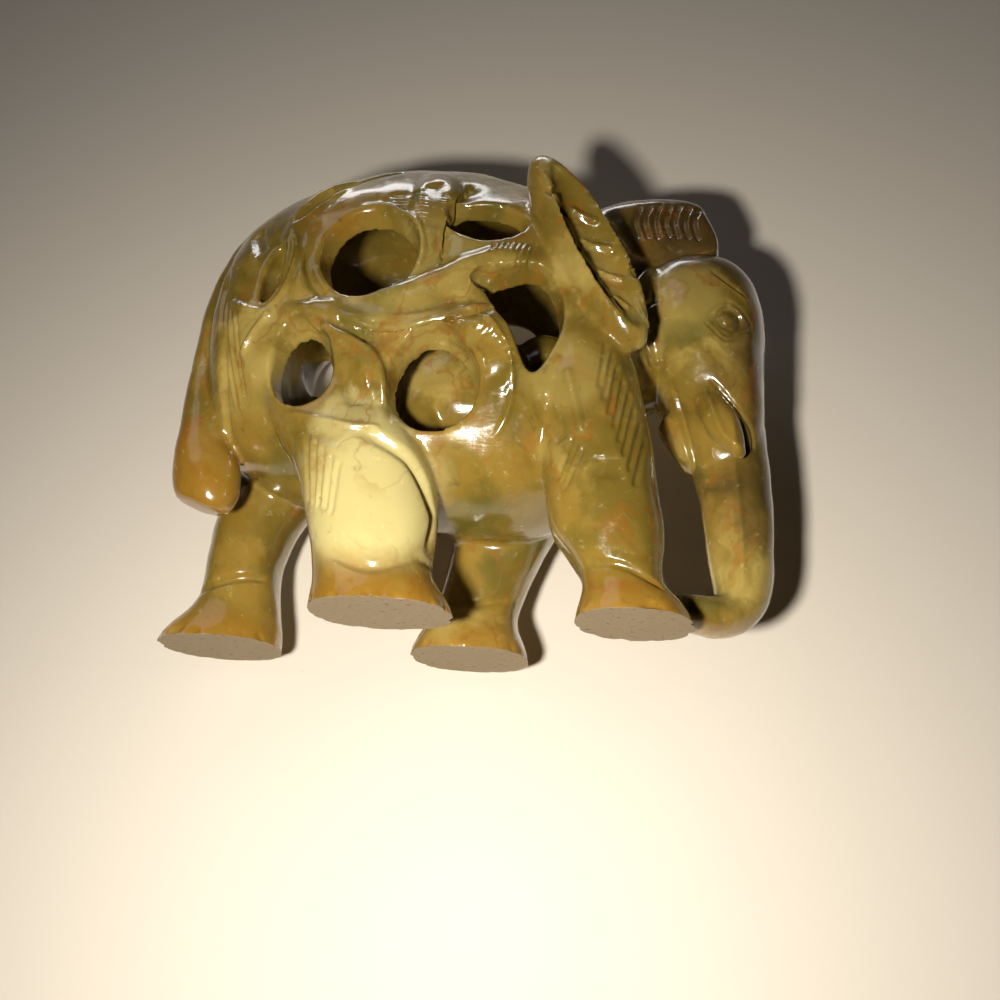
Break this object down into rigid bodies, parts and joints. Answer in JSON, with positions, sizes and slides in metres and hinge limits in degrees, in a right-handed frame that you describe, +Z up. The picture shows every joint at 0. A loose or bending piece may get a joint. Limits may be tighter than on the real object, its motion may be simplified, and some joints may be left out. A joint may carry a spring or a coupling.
{
  "type": "soapstone elephant sculpture",
  "caption": "Small carved soapstone elephant in mid stride, its hollow barrel pierced by leaf-shaped openings that show a calf standing inside.",
  "frame": {"origin": "middle of the carving's footprint, on the ground under its four soles", "axes": "+X towards the head, +Y towards the elephant's left side, +Z up"},
  "size_m": [0.0554, 0.0274, 0.0458],
  "materials": {
    "soapstone": "polished mottled soapstone in olive, ochre, cream and brown with rusty veins; soles left matt and pale"
  },
  "bodies": {
    "root": {"elephant": "soapstone"}
  },
  "joints": []
}
